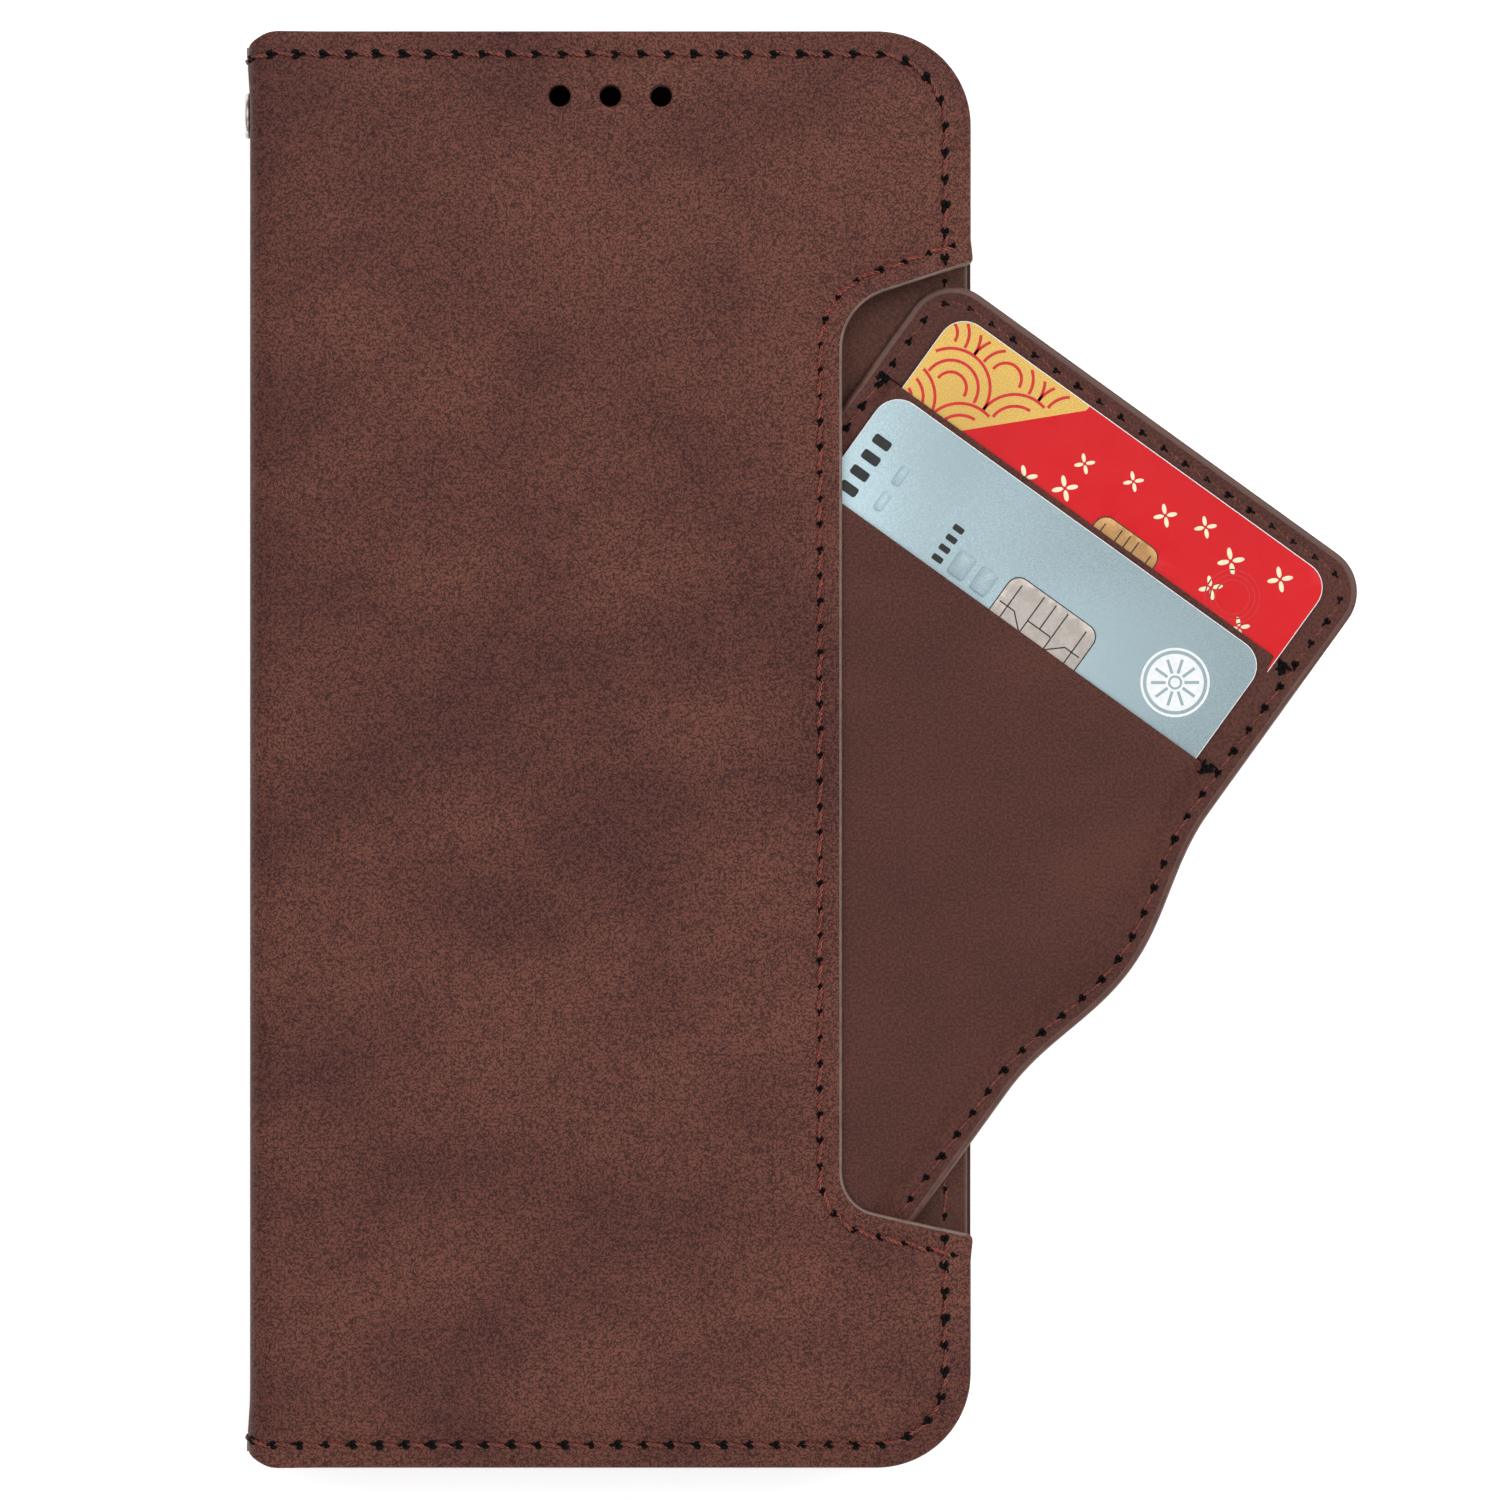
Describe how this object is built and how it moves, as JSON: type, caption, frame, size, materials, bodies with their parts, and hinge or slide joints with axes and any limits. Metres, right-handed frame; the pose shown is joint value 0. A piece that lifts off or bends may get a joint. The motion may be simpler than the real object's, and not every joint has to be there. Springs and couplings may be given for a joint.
{
  "type": "phone wallet case",
  "caption": "Book-style phone wallet case with a soft phone tray, folding spine, strap eyelet and a card holder that swings out of the front cover's side pocket",
  "frame": {"origin": "middle of the back cover's outer face, which the case lies on", "axes": "+Z out of the front face, +Y to the earpiece end, +X to the free edge away from the spine"},
  "size_m": [0.1299, 0.1674, 0.0203],
  "materials": {
    "cover_leather": "dark brown oiled synthetic leather, mottled, fine grain, satin",
    "holder_leather": "dark brown synthetic leather, smooth, satin",
    "inner_leather": "dark brown synthetic leather, smooth, satin",
    "lining": "dark brown microfibre, matte",
    "greyboard": "plain grey board, hidden",
    "tray_plastic": "soft dark brown moulded plastic",
    "steel": "bright plated steel",
    "magnet": "plated magnet, hidden",
    "black_thread": "black sewing thread",
    "red_card": "printed card, satin",
    "blue_card": "printed card, satin",
    "gold_contacts": "gold-plated contacts",
    "silver_contacts": "silver-plated contacts"
  },
  "bodies": {
    "back_cover": {"back_skin": "cover_leather", "back_board": "greyboard", "back_lining": "lining", "back_magnet_upper": "magnet", "back_magnet_lower": "magnet", "phone_shell": "tray_plastic"},
    "spine": {"spine_skin": "cover_leather", "spine_board": "greyboard", "spine_lining": "lining", "strap_eyelet": "steel", "eyelet_washer": "steel"},
    "front_cover": {"front_skin": "cover_leather", "pocket_facing": "cover_leather", "front_board": "greyboard", "front_lining": "lining", "front_magnet_upper": "magnet", "front_magnet_lower": "magnet", "cash_pocket_panel": "inner_leather", "card_slot_panel_1": "inner_leather", "card_slot_panel_2": "inner_leather", "card_slot_panel_3": "inner_leather", "pivot_rivet": "steel", "rivet_washer": "steel"},
    "card_holder": {"holder_back_skin": "holder_leather", "holder_board": "greyboard", "holder_front_skin": "holder_leather", "holder_divider": "lining", "bar_tack_1": "black_thread", "bar_tack_2": "black_thread", "bar_tack_3": "black_thread", "bar_tack_4": "black_thread"},
    "rear_card": {"rear_card": "red_card", "rear_card_chip": "gold_contacts"},
    "front_card": {"front_card": "blue_card", "front_card_chip": "silver_contacts"}
  },
  "joints": [
    {"name": "spine_fold", "type": "hinge", "parent": "back_cover", "child": "spine", "pos_m": [-0.041, 0, 0.0012], "axis": [0, -1, 0], "range_deg": [0, 180]},
    {"name": "cover_fold", "type": "hinge", "parent": "spine", "child": "front_cover", "pos_m": [-0.041, 0, 0.0188], "axis": [0, -1, 0], "range_deg": [0, 180]},
    {"name": "holder_swing", "type": "hinge", "parent": "front_cover", "child": "card_holder", "pos_m": [0.0052, -0.048, 0.0161], "axis": [0, 0, -1], "range_deg": [-35.8, 8]},
    {"name": "rear_card_slide", "type": "slide", "parent": "card_holder", "child": "rear_card", "axis": [0.585, 0.8111, 0], "range_m": [0, 0.07]},
    {"name": "front_card_slide", "type": "slide", "parent": "card_holder", "child": "front_card", "axis": [0.585, 0.8111, 0], "range_m": [0, 0.068]}
  ]
}
